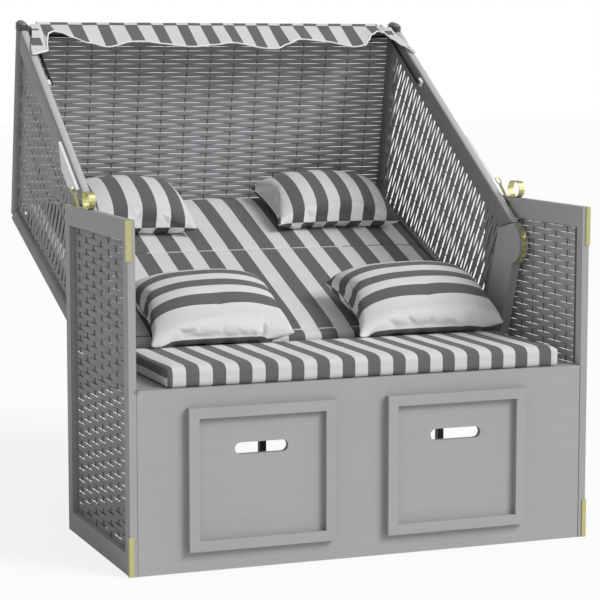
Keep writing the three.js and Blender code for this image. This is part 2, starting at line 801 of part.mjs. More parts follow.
function shadeClip(side) {
  const [back, up] = shade_pivot;
  const [low_x, high_x] = between(side, hood_inner - seat_gap - clip_thickness, hood_inner - seat_gap);
  const body = block([low_x, back - clip_width / 2, up - clip_length / 2],
    [high_x, back + clip_width / 2, up + clip_length / 2]);
  const bore = rod(shade_rod / 2 + running_gap,
    [low_x - overrun, back, up], [high_x + overrun, back, up], pin_sides);
  return cutBy(body, [bore]);
}

function shadeBar() {
  const [back, up] = shade_pivot;
  const top = up + shade_arm_length;
  const radius = shade_rod / 2;
  const elbow = (x, z) => new THREE.SphereGeometry(radius, round_sides, round_sides / 2)
    .rotateX(Math.PI / 2).translate(x, back, z);
  const parts = [rod(radius, [-arm_x, back, top], [arm_x, back, top])];
  for (const [, side] of sides) {
    parts.push(rod(radius, [side * arm_x, back, up], [side * arm_x, back, top]));
    parts.push(rod(radius, [side * arm_x, back, up],
      [side * (hood_inner - 2 * slide_gap), back, up], pin_sides));
    parts.push(elbow(side * arm_x, up));
    parts.push(elbow(side * arm_x, top));
  }
  return joined(parts);
}

// The sheet is fixed behind the top rail, passes over it and hangs down in front
function shadeSheet() {
  const clear = seat_gap + sheet_thickness / 2;
  const front = -hood_front + top_rail_setback - clear;
  const rear = -hood_front + top_rail_setback + top_rail_thickness + clear;
  const top = hood_peak - top_rail_drop + clear;
  const path = [[rear, top - sheet_hold], [rear, top], [front, top], [front, top - sheet_drop]];
  const half = hood_inner - sheet_margin;
  return sideways(bentStrip(path, sheet_thickness), -half, half);
}

for (const [word, side] of sides) {
  place(hood, `hood_${word}_handle_board`, handleBoard(side), white_plastic);
  place(hood, `hood_${word}_knob_band`, knobBand(side), zinc_brass);
  place(hood, `${word}_shade_clip`, shadeClip(side), white_plastic);
}
place(hood, 'shade_bar', shadeBar(), black_steel);
place(hood, 'shade_sheet', shadeSheet(), striped_cloth);

// Seat cushion with rounded long edges
function seatPad() {
  const low = seat_level + seat_gap;
  const near = front_face;
  const far = hinge_back - seat_pad_setback;
  const high = low + seat_pad_height;
  const round = seat_pad_round;
  const outline = outlineOf([
    ...arcPoints([near + round, low + round], round, Math.PI, 3 * Math.PI / 2, bend_steps),
    ...arcPoints([far - round, low + round], round, 3 * Math.PI / 2, 2 * Math.PI, bend_steps),
    ...arcPoints([far - round, high - round], round, 0, Math.PI / 2, bend_steps),
    ...arcPoints([near + round, high - round], round, Math.PI / 2, Math.PI, bend_steps),
  ]);
  return sideways(outline, -inner_face + seat_pad_left_gap, inner_face - seat_pad_right_gap);
}

// Head pillow lying in its own plane, thick in the middle and thin at its edges
function headPillow() {
  const rim = head_height * head_rim_share;
  const head_width = 2 * hood_inner * head_width_share;
  const [half_w, half_l] = [head_width / 2 - head_crown, head_length / 2 - head_crown];
  const outline = outlineOf([[-half_w, -half_l], [half_w, -half_l], [half_w, half_l], [-half_w, half_l]]);
  return new THREE.ExtrudeGeometry(outline, {
    depth: rim, bevelThickness: (head_height - rim) / 2, bevelSize: head_crown, bevelSegments: 3,
  }).translate(0, 0, (head_height - rim) / 2);
}

// Throw pillow on the seat, shaped to stay in front of the swinging back cushion
function throwPillow(index) {
  const low = seat_level + seat_pad_height + pillow_gap;
  const outline = outlineOf(throw_profile.map(([back, rise]) => [hinge_back + back, low + rise]));
  const half = inner_face * throw_width_shares[index];
  const middle = inner_face * throw_place_shares[index];
  return sideways(outline, middle - half, middle + half);
}

const pad_face = lining_inset + weave_depth + seat_gap;

place(chair, 'seat_cushion', seatPad(), striped_cloth);
place(hood, 'back_cushion', slab(heel, shoulder, [back_pad_start, back_pad_end],
  [pad_face, pad_face + back_pad_thickness], hood_inner - back_pad_side_gap), striped_cloth);
sides.forEach(([word, side], index) => {
  place(chair, `${word}_throw_pillow`, throwPillow(index), striped_cloth);
  const head = place(hood, `${word}_head_pillow`, headPillow(), striped_cloth);
  const [back, rise] = inset(heel, shoulder, head_start + head_length / 2,
    pad_face + back_pad_thickness + seat_gap);
  head.position.set(side * hood_inner * head_place_share, back, rise);
  head.rotation.x = Math.atan2(shoulder[1] - heel[1], shoulder[0] - heel[0]);
});

export default chair;
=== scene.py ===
import json
import math

import bmesh
import bpy
from mathutils import Matrix, Vector, noise


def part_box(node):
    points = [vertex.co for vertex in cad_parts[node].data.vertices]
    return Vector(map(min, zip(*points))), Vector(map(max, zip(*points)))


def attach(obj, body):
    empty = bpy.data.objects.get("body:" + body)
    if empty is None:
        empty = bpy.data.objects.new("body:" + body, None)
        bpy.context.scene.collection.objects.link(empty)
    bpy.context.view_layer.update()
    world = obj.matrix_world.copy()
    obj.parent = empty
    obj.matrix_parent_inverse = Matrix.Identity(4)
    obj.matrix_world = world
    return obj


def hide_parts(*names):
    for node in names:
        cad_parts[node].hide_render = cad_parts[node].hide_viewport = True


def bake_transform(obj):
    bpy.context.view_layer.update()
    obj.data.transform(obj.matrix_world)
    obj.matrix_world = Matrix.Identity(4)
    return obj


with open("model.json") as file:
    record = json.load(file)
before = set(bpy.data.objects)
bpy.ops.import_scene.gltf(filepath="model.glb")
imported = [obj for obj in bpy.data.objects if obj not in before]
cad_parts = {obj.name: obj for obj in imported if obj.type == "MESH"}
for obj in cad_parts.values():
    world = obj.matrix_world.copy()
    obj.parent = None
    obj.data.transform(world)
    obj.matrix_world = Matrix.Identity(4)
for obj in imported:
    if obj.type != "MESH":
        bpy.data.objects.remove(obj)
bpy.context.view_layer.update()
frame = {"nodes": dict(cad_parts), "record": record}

# Main places, in metres. The hood is drawn upright about its hinge and then leans back by the recline.
recline = math.radians(57)
hinge = Vector((0, 0.138, 0.648))
hood_place = Matrix.Translation(hinge) @ Matrix.Rotation(-recline, 4, "X")
hood_outer, hood_inner = 0.566, 0.542
hood_half, hood_front = (hood_inner + hood_outer) / 2, -0.145
frame_front = -0.2725

# Corners of the hood's sides as (back, rise), and how its back and its upper back lean
heel, shoulder, peak = Vector((0.180, -0.129)), Vector((0.375, 0.747)), Vector((hood_front, 0.966))
back_lean = math.atan2(shoulder.y - heel.y, shoulder.x - heel.x)
roof_lean = math.atan2(peak.y - shoulder.y, peak.x - shoulder.x)


# Shader arithmetic
class Wire:
    def __init__(self, paint, socket):
        self.paint, self.socket = paint, socket

    def _with(self, operation, first, second=0.0):
        return self.paint.node("ShaderNodeMath", {"operation": operation}, {0: first, 1: second})

    def __add__(self, other):
        return self._with("ADD", self, other)

    def __sub__(self, other):
        return self._with("SUBTRACT", self, other)

    def __mul__(self, other):
        return self._with("MULTIPLY", self, other)

    def __truediv__(self, other):
        return self._with("DIVIDE", self, other)

    def __mod__(self, other):
        return self._with("FLOORED_MODULO", self, other)

    def __gt__(self, other):
        return self._with("GREATER_THAN", self, other)

    def __lt__(self, other):
        return self._with("LESS_THAN", self, other)

    def __rsub__(self, other):
        return self._with("SUBTRACT", other, self)

    def __rmul__(self, other):
        return self._with("MULTIPLY", other, self)

    def __radd__(self, other):
        return self._with("ADD", other, self)

    def size(self):
        return self._with("ABSOLUTE", self)

    def clamped(self):
        return self.paint.node("ShaderNodeClamp", {}, {0: self})


class Paint:
    def __init__(self, name):
        self.material = bpy.data.materials.new(name)
        self.material.use_nodes = True
        self.tree = self.material.node_tree
        self.shader = self.tree.nodes["Principled BSDF"]
        self.place = self.node("ShaderNodeTexCoord", {}, {}, "Object")

    def node(self, kind, settings, inputs, output=0):
        made = self.tree.nodes.new(kind)
        for key, value in settings.items():
            setattr(made, key, value)
        for key, value in inputs.items():
            if isinstance(value, Wire):
                self.tree.links.new(value.socket, made.inputs[key])
            else:
                made.inputs[key].default_value = value
        return Wire(self, made.outputs[output])

    def mixed(self, share, first, second):
        return self.node("ShaderNodeMix", {"data_type": "RGBA"}, {0: share, 6: first, 7: second}, 2)

    def mottled(self, share, level, darker, lighter, tint=(1.0, 1.0, 1.0)):
        """A grey that runs, by the share, from so much darker than the level to so much lighter."""
        return self.mixed(share, grey(level - darker, tint), grey(level + lighter, tint))

    def turned(self, turn=(0, 0, 0), scale=(1, 1, 1)):
        return self.node("ShaderNodeMapping", {}, {0: self.place, 2: turn, 3: scale})

    def seen_from(self, centre, turn):
        """Places as measured in a frame with this centre and turn."""
        return self.node("ShaderNodeMapping", {"vector_type": "TEXTURE"},
                         {0: self.place, 1: tuple(centre), 2: turn})

    def facing(self, index):
        """The part of the surface's direction along one axis, from -1 to 1."""
        return self.axis(self.node("ShaderNodeTexCoord", {}, {}, "Normal"), index)

    def axis(self, vector, index):
        return self.node("ShaderNodeSeparateXYZ", {}, {0: vector}, index)

    def cloud(self, vector, scale, detail=3.0, roughness=0.5):
        return self.node("ShaderNodeTexNoise", {}, {"Vector": vector, "Scale": scale, "Detail": detail,
                                                    "Roughness": roughness})

    def bump(self, height, strength, distance, normal=None):
        inputs = {"Height": height, "Strength": strength, "Distance": distance}
        if normal is not None:
            inputs["Normal"] = normal
        return self.node("ShaderNodeBump", {}, inputs)

    def feed(self, **sockets):
        for name, value in sockets.items():
            socket = self.shader.inputs[name.replace("_", " ")]
            if isinstance(value, Wire):
                self.tree.links.new(value.socket, socket)
            else:
                socket.default_value = value
        return self.material


# Tints of the strands, the level of dark joint lines and painted shadow strips, and the width of the strand
# wound round the rails
cool, cooler = (0.97, 1.0, 1.03), (0.97, 1.0, 1.04)
joint_and_shadow_level = 88
wound_width = 0.0085


def grey(level, tint=(1.0, 1.0, 1.0)):
    linear = (level / 255) ** 2.2
    return (linear * tint[0], linear * tint[1], linear * tint[2], 1.0)


def facing_left(paint):
    return paint.facing(0) < -0.6


def painted_wood(name, level, along=(1, 0, 0), left_painted_light_level=None, joints=()):
    """The faces that look to the left are painted at their own level where one is given, lighter or darker
    than the rest as painted light and shade. The joint boxes, by two corners, are where the paint is dark:
    dark joint lines, and painted shadow strips beside a part, on the left faces alone if these have a level."""
    paint = Paint(name)
    stretch = tuple(6.0 if part else 60.0 for part in along)
    grain = paint.cloud(paint.turned(scale=stretch), 1.0, 6.0, 0.6)
    patches = paint.cloud(paint.place, 3.5, 2.0)
    shade = ((grain * 0.5 + patches * 0.5 - 0.3) * 1.6).clamped()
    colour = paint.mottled(shade, level, 5, 4)
    dark = 1.0
    # Painted light and shade: the faces that look to the left are painted at their own level.
    if left_painted_light_level:
        dark = facing_left(paint)
        colour = paint.mixed(dark, colour, paint.mottled(shade, left_painted_light_level, 5, 4))
    # Dark joint lines, and painted shadow strips where shade falls beside a part
    for low, high in joints:
        inside = dark
        for axis in range(3):
            across = paint.axis(paint.place, axis)
            inside = (across > low[axis]) * (across < high[axis]) * inside
        colour = paint.mixed(inside, colour, grey(joint_and_shadow_level))
    return paint.feed(Base_Color=colour, Roughness=0.42 + 0.22 * patches,
                      Normal=paint.bump(grain, 0.12, 0.0006), Specular_IOR_Level=0.35)


def strand_finish(name, level, turn=(0, 0, 0), along=(1, 0, 0), left_painted_light_level=None):
    paint = Paint(name)
    stretch = tuple(14.0 if part else 420.0 for part in along)
    streaks = paint.cloud(paint.turned(turn=turn, scale=stretch), 1.0, 4.0, 0.55)
    patches = paint.cloud(paint.place, 5.0, 2.0)
    shade = ((streaks * 0.75 + patches * 0.25 - 0.25) * 1.9).clamped()
    colour = paint.mottled(shade, level, 16, 12, cooler)
    # Painted light: the faces that look to the left are painted at their own, lighter level.
    if left_painted_light_level:
        colour = paint.mixed(facing_left(paint), colour, paint.mottled(shade, left_painted_light_level, 14, 8, cool))
    return paint.feed(Base_Color=colour, Roughness=0.36 + 0.2 * streaks,
                      Normal=paint.bump(streaks, 0.35, 0.0006), Specular_IOR_Level=0.45)


def wrapped_finish(name, level, lean, face_level=None):
    """Flat strand wound round a rail that leans by this angle in the hood's own plane.
    face_level is for the front rails, whose front face is lighter."""
    paint = Paint(name)
    place = paint.seen_from(hinge, (lean - recline, 0, 0))
    turns = (paint.axis(place, 1) / wound_width % 1.0 - 0.5).size() * 2
    seam = turns > 0.86
    streaks = paint.cloud(place, 60.0, 4.0, 0.6)
    patches = paint.cloud(paint.place, 6.0, 2.0)
    shade = (streaks * 0.5 + patches * 0.5 - 0.25 - seam * 0.16) * 1.8
    colour = paint.mottled(shade.clamped(), level, 18, 10, cool)
    if face_level:
        front_face = 0.1425
        colour = paint.mixed(paint.axis(place, 2) > front_face, colour, grey(face_level))
    return paint.feed(Base_Color=colour, Roughness=0.40 + 0.2 * streaks,
                      Normal=paint.bump(1 - turns * turns * turns, 0.25, 0.0012), Specular_IOR_Level=0.4)


def plated_brass():
    paint = Paint("pale_brass")
    wear = paint.cloud(paint.place, 90.0, 5.0, 0.7)
    colour = paint.mixed(wear, (0.50, 0.47, 0.20, 1), (0.66, 0.63, 0.32, 1))
    return paint.feed(Base_Color=colour, Roughness=0.24 + 0.2 * wear, Metallic=0.85,
                      Normal=paint.bump(wear, 0.08, 0.0003))


def plain_finish(name, colour, rough, metal=0.0):
    paint = Paint(name)
    mottle = paint.cloud(paint.place, 160.0, 3.0)
    return paint.feed(Base_Color=paint.mixed(mottle, colour, tuple(c * 0.82 for c in colour[:3]) + (1,)),
                      Roughness=rough + 0.12 * mottle, Metallic=metal, Normal=paint.bump(mottle, 0.1, 0.0003))


def striped_cloth(name, pitch, offset=0.0, turn=(0, 0, 0), across=0, trim=None, centre=(0, 0, 0), ends=None,
                  sag=None, ink=None, white_sides=None, seams=(), painted_light_under=None, white=200,
                  front=None, edge_line=None):
    """Stripes of equal width across one axis of a turned frame. trim is (axis, level, shift): below that
    level, which sags toward the front by (half length, drop), the stripes are shifted, as under a pillow.
    Past its ends the cloth is white. ink names an attribute that is positive where the cloth is dark.
    A cushion's left and right sides are white below the height white_sides. seams are places where a
    thread crosses it, painted light in the middle and dark towards both ends as painted shade, and
    edge_line is how far from the middle a light line runs along both sides.
    white is the level of the light cloth. The faces that look to the floor are painted lighter, at the
    under level, as painted light, and the faces that look to the front at the front level, as painted shade."""
    thread_half, thread_shaded_beyond, edge_wide = 0.0024, 0.285, 0.0050
    paint = Paint(name)
    turned = paint.seen_from(centre, turn)
    place = paint.axis(turned, across)
    if trim:
        axis, level, shift = trim
        if sag:
            toward = (paint.axis(turned, 1) * (-1 / sag[0])).clamped()
            level = level - toward * toward * toward * toward * sag[1]
        place = place + (paint.axis(turned, axis) < level) * shift
    sway = (paint.cloud(paint.place, 9.0, 1.0) - 0.5) * 0.002
    dark = ((place + sway - offset) / (2 * pitch) % 1.0) < 0.5
    if ends:
        dark = dark * (place > ends[0]) * (place < ends[1])
    if ink:
        dark = paint.node("ShaderNodeAttribute", {"attribute_name": ink}, {}, 2) > 0.0
    if white_sides:
        sideways = paint.facing(0).size() > 0.75
        dark = dark * (1 - sideways * (paint.axis(paint.place, 2) < white_sides))
    weave = paint.cloud(paint.place, 900.0, 2.0, 0.6)
    folds = paint.cloud(paint.place, 14.0, 3.0)
    light = paint.mottled(folds, white, 5, 6)
    # Painted light: the faces that look to the floor are painted lighter.
    if painted_light_under:
        light = paint.mixed((paint.facing(2) * -1.3 + 0.45).clamped(), light, grey(painted_light_under))
    # Painted shade: the faces that look to the front are painted at their own, darker level.
    if front:
        light = paint.mixed((paint.facing(1) * -1.0).clamped(), light, grey(front))
    deep = paint.mottled(weave, 93, 9, 9)
    soft = paint.bump(folds, 0.12, 0.004)
    colour = paint.mixed(dark, light, deep)
    for seam in seams:
        near = (paint.axis(turned, 1) - seam).size() < thread_half
        # Painted shade: the thread is light in the middle and dark towards both ends.
        thread = paint.mixed(paint.axis(turned, 0).size() < thread_shaded_beyond, grey(78), grey(200))
        colour = paint.mixed(near * 0.85, colour, thread)
    if edge_line:
        beside = paint.axis(turned, 0).size()
        colour = paint.mixed((beside > edge_line) * (beside < edge_line + edge_wide), colour, grey(190))
    return paint.feed(Base_Color=colour, Roughness=0.88,
                      Normal=paint.bump(weave, 0.22, 0.0004, soft), Specular_IOR_Level=0.15,
                      Sheen_Weight=0.15)


def plain_cloth(name, level):
    paint = Paint(name)
    weave = paint.cloud(paint.place, 900.0, 2.0, 0.6)
    return paint.feed(Base_Color=paint.mottled(weave, level, 8, 4), Roughness=0.85,
                      Normal=paint.bump(weave, 0.2, 0.0004), Specular_IOR_Level=0.15)


# Modelling helpers
def deselected():
    if bpy.context.object and bpy.context.object.mode != "OBJECT":
        bpy.ops.object.mode_set(mode="OBJECT")
    bpy.ops.object.select_all(action="DESELECT")


def only(piece):
    deselected()
    piece.select_set(True)
    bpy.context.view_layer.objects.active = piece


def started(operator, name, **where):
    deselected()
    getattr(bpy.ops.mesh, operator)(**where)
    piece = bpy.context.object
    piece.name = name
    bpy.ops.object.transform_apply(location=True, rotation=True, scale=True)
    return piece


def pick(piece, kind, test):
    """Edit mode, with only the faces or points that pass the test selected."""
    only(piece)
    bpy.ops.object.mode_set(mode="EDIT")
    bpy.ops.mesh.select_mode(type=kind)
    bpy.ops.mesh.select_all(action="DESELECT")
    shape = bmesh.from_edit_mesh(piece.data)
    for part in shape.faces if kind == "FACE" else shape.verts:
        if test(part):
            part.select_set(True)
    shape.select_flush_mode()
    bmesh.update_edit_mesh(piece.data)


def finish_modifier(piece, kind, **settings):
    only(piece)
    modifier = piece.modifiers.new(kind.lower(), kind)
    for key, value in settings.items():
        setattr(modifier, key, value)
    bpy.ops.object.modifier_apply(modifier=modifier.name)


def cut_off(piece, point, outward):
    """Removes what lies beyond a plane and closes the cut."""
    only(piece)
    bpy.ops.object.mode_set(mode="EDIT")
    bpy.ops.mesh.select_all(action="SELECT")
    bpy.ops.mesh.bisect(plane_co=point, plane_no=outward, use_fill=True, clear_outer=True)
    bpy.ops.object.mode_set(mode="OBJECT")


def joined(name, *pieces):
    deselected()
    for piece in pieces:
        piece.select_set(True)
    bpy.context.view_layer.objects.active = pieces[0]
    bpy.ops.object.join()
    pieces[0].name = name
    return pieces[0]


def smooth(piece, angle=40):
    only(piece)
    bpy.ops.object.shade_smooth_by_angle(angle=math.radians(angle))


def put(piece, matrix):
    piece.matrix_world = matrix
    only(piece)
    bpy.ops.object.transform_apply(location=True, rotation=True, scale=True)


def dress(piece, material):
    piece.data.materials.clear()
    piece.data.materials.append(material)


def outward_faces(piece):
    only(piece)
    bpy.ops.object.mode_set(mode="EDIT")
    bpy.ops.mesh.select_all(action="SELECT")
    bpy.ops.mesh.remove_doubles(threshold=0.00002)
    bpy.ops.mesh.normals_make_consistent(inside=False)
    bpy.ops.object.mode_set(mode="OBJECT")


# Camera
bpy.ops.object.camera_add(location=(-1.946, -4.880, 1.201),
                          rotation=(math.radians(90 - 6.56), 0, math.radians(-21.02)))
camera = bpy.context.object
camera.data.lens, camera.data.sensor_width = 127.52, 36
camera.data.shift_x, camera.data.shift_y = 0.0025, -0.0048
bpy.context.scene.camera = camera
bpy.context.scene.view_settings.view_transform = "Standard"

# Materials
wood = painted_wood("grey_paint", 154)
panel_low, panel_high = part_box("front_panel")
left_joint, right_joint, joint_over = 0.0012, 0.0024, 0.001
panel_ends = [((panel_low.x - joint_over, -1, 0), (panel_low.x + left_joint, 1, 1)),
              ((panel_high.x - right_joint, -1, 0), (panel_high.x + joint_over, 1, 1))]
wood_panel = painted_wood("front_panel_paint", 154, joints=panel_ends)
weave_low, weave_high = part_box("right_side_weave")
# Painted shadow: a dark strip on the right side frame's inner face, along the front stile beside the weave
stile_shadow_width, stile_over = 0.010, 0.1
stile_shadow_strip = [((weave_low.x - stile_over, weave_low.y - stile_shadow_width, weave_low.z),
               (weave_high.x + stile_over, weave_low.y, weave_high.z))]
upright, backward, untilted, reclined = (0, 0, 1), (0, 1, 0), (0, 0, 0), (recline, 0, 0)
# The side frames' faces that look to the left are painted darker on the left frame, as painted shade, and
# lighter on the right frame's inside, as painted light.
wood_left = painted_wood("grey_paint_left", 152, upright, 146)
wood_right = painted_wood("grey_paint_right", 152, upright, 176, stile_shadow_strip)
# Copies of one strand at different levels: the back and upper back are painted lighter, and the faces that
# look to the left on the base's and the hood's right sides much lighter, as painted light.
rattan_across = strand_finish("strands_across", 140)
rattan_left = strand_finish("strands_on_the_left", 118, untilted, backward)
rattan_right = strand_finish("strands_on_the_right", 124, untilted, backward, 168)
rattan_hood = strand_finish("strands_on_the_hood_side", 126, reclined, backward)
rattan_hood_right = strand_finish("strands_on_the_hoods_right", 126, reclined, backward, 150)
rattan_wrap = wrapped_finish("wrapped_rattan", 122, 0.0)
rattan_post = wrapped_finish("wrapped_post", 122, roof_lean)
rattan_back_rail = wrapped_finish("wrapped_back_rail", 120, back_lean)
rattan_front = wrapped_finish("wrapped_front_rail", 138, math.pi / 2, 174)
wrap_ring_finish = plain_finish("wrap_rings", grey(52), 0.5)
stake_finish = plain_finish("stakes", grey(100), 0.5)
brass = plated_brass()
white_plastic = plain_finish("white_plastic", grey(225), 0.35)
black_steel = plain_finish("black_steel", grey(30), 0.35, 0.3)

finishes = {"painted_wood": wood, "rattan": rattan_wrap, "brass_fittings": brass,
            "striped_fabric": striped_cloth("plain_stripes", 0.032), "white_plastic": white_plastic,
            "black_steel": black_steel}
for row in frame["record"]["subparts"]:
    node = frame["nodes"][row["node"]]
    material = finishes[row["material_slot"]]
    if row["node"].endswith(("side_frame", "foot_rail")):
        material = wood_left if "left" in row["node"] else wood_right
    if row["node"] == "front_panel":
        material = wood_panel
    for index in range(len(node.material_slots)):
        node.material_slots[index].material = material


# Woven panels: flat strands pass in front of one stake and behind the next
def woven_panel(name, length, height, strand_pitch, stake_pitch, strand_width, stake_at, waist):
    """Strands run along x and stakes along y, centred on z = 0. stake_at is one stake's place along x.
    Between the stakes each strand is narrower by its waist, which leaves long open slits."""
    strand_thickness, stake, stake_depth = 0.0014, 0.0030, 0.0020
    swing = (stake_depth + strand_thickness) / 2
    phase = stake_at / stake_pitch % 1.0
    loops, near = 12, 0.0005
    strand = started("primitive_cylinder_add", name, vertices=6, radius=0.5, depth=2 * stake_pitch,
                     end_fill_type="NOTHING", rotation=(0, math.pi / 2, 0), location=(stake_pitch, 0, 0))
    pick(strand, "VERT", lambda v: True)
    bpy.ops.transform.resize(value=(1, strand_width, strand_thickness))
    for loop in range(1, loops):
        bpy.ops.mesh.select_all(action="SELECT")
        bpy.ops.mesh.bisect(plane_co=(2 * stake_pitch * loop / loops, 0, 0), plane_no=(1, 0, 0))
    for loop in range(loops + 1):
        x = 2 * stake_pitch * loop / loops
        pick(strand, "VERT", lambda v: abs(v.co.x - x) < near)
        bpy.ops.transform.resize(value=(1, 1 - waist * math.sin(math.pi * x / stake_pitch) ** 2, 1))
        bpy.ops.transform.translate(value=(0, 0, swing * math.cos(math.pi * x / stake_pitch)))
    deselected()
    repeats = math.ceil(length / (2 * stake_pitch)) + 2
    finish_modifier(strand, "ARRAY", use_relative_offset=False, use_constant_offset=True,
                    constant_offset_displace=(2 * stake_pitch, 0, 0), count=repeats, use_merge_vertices=True)
    only(strand)
    bpy.ops.object.duplicate()
    other = bpy.context.object
    put(strand, Matrix.Translation((-2 * stake_pitch, 0, 0)))
    put(other, Matrix.Translation((-stake_pitch, strand_pitch, 0)))
    pair = joined(name, strand, other)
    rows = math.ceil(height / (2 * strand_pitch))
    finish_modifier(pair, "ARRAY", use_relative_offset=False, use_constant_offset=True,
                    constant_offset_displace=(0, 2 * strand_pitch, 0), count=rows + 1)
    put(pair, Matrix.Translation((phase * stake_pitch, strand_pitch / 2, 0)))
    post = started("primitive_cylinder_add", name + "_stakes", vertices=8, radius=stake / 2,
                   depth=height + 0.02, rotation=(math.pi / 2, 0, 0),
                   location=(phase * stake_pitch, height / 2, 0))
    finish_modifier(post, "ARRAY", use_relative_offset=False, use_constant_offset=True,
                    constant_offset_displace=(stake_pitch, 0, 0), count=math.ceil(length / stake_pitch))
    pick(post, "VERT", lambda v: True)
    bpy.ops.transform.resize(value=(1, 1, stake_depth / stake), center_override=(0, 0, 0))
    bpy.ops.object.mode_set(mode="OBJECT")
    return pair, post


def trimmed_panel(name, pair, post, edges, strand_material):
    """Cuts both to the panel's edges, given as (point, outward direction) pairs, and joins them."""
    for part in (pair, post):
        for point, outward in edges:
            cut_off(part, point, outward)
        smooth(part, 50)
    pair.data.materials.append(strand_material)
    post.data.materials.append(stake_finish)
    return joined(name, pair, post)


def straight_edges(length, height):
    return [((0, 0, 0), (-1, 0, 0)), ((length, 0, 0), (1, 0, 0)),
            ((0, 0, 0), (0, -1, 0)), ((0, height, 0), (0, 1, 0))]


def lay_panel(name, nodes, size, weave, place, material, body, edges=None):
    """weave is the strands' pitch, the stakes' pitch, the strands' width, one stake's place and the waist."""
    length, height = size
    pair, post = woven_panel(name, length, height, *weave)
    panel = trimmed_panel(name, pair, post, edges or straight_edges(length, height), material)
    put(panel, place)
    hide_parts(*nodes)
    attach(panel, body)


# The base's sides, whose stakes stand a little closer together on the right
side_place = Matrix(((0, 0, 1, 0), (1, 0, 0, 0), (0, 1, 0, 0), (0, 0, 0, 1)))
sides = (("left", -1), ("right", 1))
side_strand_pitch, side_strand_width, side_stake_at, side_waist = 0.0147, 0.01448, -0.002, 0.03
for (word, side), stake_pitch, finish in zip(sides, (0.065, 0.061), (rattan_left, rattan_right)):
    low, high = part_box(word + "_side_weave")
    lay_panel(word + "_side_wickerwork", [word + "_side_weave"], (high.y - low.y, high.z - low.z),
              (side_strand_pitch, stake_pitch, side_strand_width, side_stake_at - low.y, side_waist),
              Matrix.Translation(((low.x + high.x) / 2, low.y, low.z)) @ side_place, finish, "base")

# The hood's back and upper back. Their weave reaches a little way into the side frames.
lining_front, lining_thick = 0.004, 0.0094
lining_middle = lining_front + lining_thick / 2
cross_half = hood_inner + 0.0012


def along(start, end, distance, depth):
    step = (end - start).normalized()
    return start + step * distance + Vector((-step.y, step.x)) * depth


def hood_panel(name, node, start, end, first, last, lean):
    """first and last are where the cross rails leave the weave free, measured along the hood's side."""
    corner = along(start, end, first, lining_middle)
    strand_pitch, stake_pitch, strand_width, stake_at, waist = 0.01235, 0.070, 0.01208, 0.001, 0.05
    place = hood_place @ Matrix.Translation((-cross_half, corner.x, corner.y)) @ Matrix.Rotation(lean, 4, "X")
    lay_panel(name, [node], (2 * cross_half, last - first),
              (strand_pitch, stake_pitch, strand_width, stake_at + cross_half, waist), place, rattan_across,
              "hood")


back_length, roof_length = (shoulder - heel).length, (peak - shoulder).length
foot_rail_end, shoulder_rail_start, shoulder_rail_end, top_rail_start = 0.0683, 0.0523, 0.018, 0.043
hood_panel("hood_back_wickerwork", "hood_back_weave", heel, shoulder, foot_rail_end,
           back_length - shoulder_rail_start, back_lean)
hood_panel("hood_roof_wickerwork", "hood_roof_weave", shoulder, peak, shoulder_rail_end,
           roof_length - top_rail_start, roof_lean)


def crossing(first, second):
    (a, b), (c, d) = first, second
    one, two = b - a, d - c
    reach = ((c.x - a.x) * two.y - (c.y - a.y) * two.x) / (one.x * two.y - one.y * two.x)
    return a + one * reach


def edge_line(start, end, depth):
    return along(start, end, 0, depth), along(start, end, (end - start).length, depth)


# The hood's sides. Their opening lies within the four rails, whose depths are given here.
knob = Vector((-0.095, -0.036))
sole_lean = math.radians(14.2)
sole_depth, back_depth, post_depth, front_depth = 0.104, 0.045, 0.050, 0.060
sole_front = Vector((knob.x, heel.y + (heel.x - knob.x) * math.tan(sole_lean)))
sole_line = edge_line(sole_front, heel, sole_depth)
back_line = edge_line(heel, shoulder, back_depth)
roof_line = edge_line(shoulder, peak, post_depth)
front_line = edge_line(peak, Vector((hood_front, 0)), front_depth)
corners = [crossing(sole_line, front_line), crossing(sole_line, back_line),
           crossing(back_line, roof_line), crossing(roof_line, front_line)]
left, right = min(c.x for c in corners), max(c.x for c in corners)
low, high = min(c.y for c in corners), max(c.y for c in corners)
edge_room = 0.0006
edges = []
for start, end in zip(corners, corners[1:] + corners[:1]):
    step = (end - start).normalized()
    point = start - Vector((left, low)) + Vector((-step.y, step.x)) * edge_room
    edges.append(((point.x, point.y, 0), (step.y, -step.x, 0)))
open_strand_pitch, open_strand_width, open_waist = 0.01575, 0.0147, 0.26
open_stake_pitch, open_stake_at = 0.097, -0.001
for (word, side), finish in zip(sides, (rattan_hood, rattan_hood_right)):
    place = hood_place @ Matrix.Translation((side * hood_half, left, low)) @ side_place
    lay_panel("hood_" + word + "_wickerwork", ["hood_" + word + "_weave"], (right - left, high - low),
              (open_strand_pitch, open_stake_pitch, open_strand_width, open_stake_at - left, open_waist),
              place, finish, "hood", edges)


# Rails of the hood, rounded along their edges as wound with flat strand
def rail_bar(name, node, outline, side, finish, round_size):
    """outline is a list of (back, rise) corners in the hood's upright place."""
    form = started("primitive_circle_add", name, vertices=len(outline), fill_type="NGON", radius=1)
    half = (hood_outer - hood_inner) / 2 - 0.0001
    middle = side * hood_half
    order = sorted(form.data.vertices, key=lambda v: math.atan2(v.co.y, v.co.x) % (2 * math.pi))
    for vertex, corner in zip(order, outline):
        vertex.co = Vector((middle - half, corner[0], corner[1]))
    pick(form, "FACE", lambda face: True)
    bpy.ops.mesh.extrude_region_move(TRANSFORM_OT_translate={"value": (2 * half, 0, 0)})
    outward_faces(form)
    finish_modifier(form, "BEVEL", width=round_size, segments=4, limit_method="ANGLE",
                    angle_limit=math.radians(50))
    put(form, hood_place)
    smooth(form, 45)
    dress(form, finish)
    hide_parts(node)
    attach(form, "hood")


